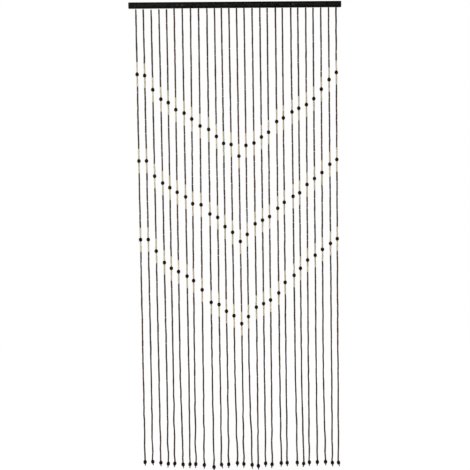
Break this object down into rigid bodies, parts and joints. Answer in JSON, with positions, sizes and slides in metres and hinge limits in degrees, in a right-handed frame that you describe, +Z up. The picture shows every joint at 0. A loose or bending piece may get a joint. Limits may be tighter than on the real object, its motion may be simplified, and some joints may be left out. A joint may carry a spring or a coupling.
{
  "type": "bead curtain with rod",
  "caption": "Doorway bead curtain: strings of dark tube beads with zigzag rows of round beads set between pale tubes, hung from a flat black wooden rod.",
  "frame": {"origin": "middle of the rod's back face, which lies against the wall or lintel", "axes": "+Z up, -Y out of the curtain's front, +X to the right as seen from the front"},
  "size_m": [0.9, 0.016, 2.0137],
  "materials": {
    "rod_paint": "black painted wood, satin",
    "tube_dark": "dark stained bamboo, satin",
    "tube_pale": "natural bamboo, satin",
    "bead_dark": "near-black lacquered wood",
    "cord": "twisted thread"
  },
  "bodies": {
    "root": {"rod": "rod_paint", "strands": "tube_dark"}
  },
  "joints": []
}
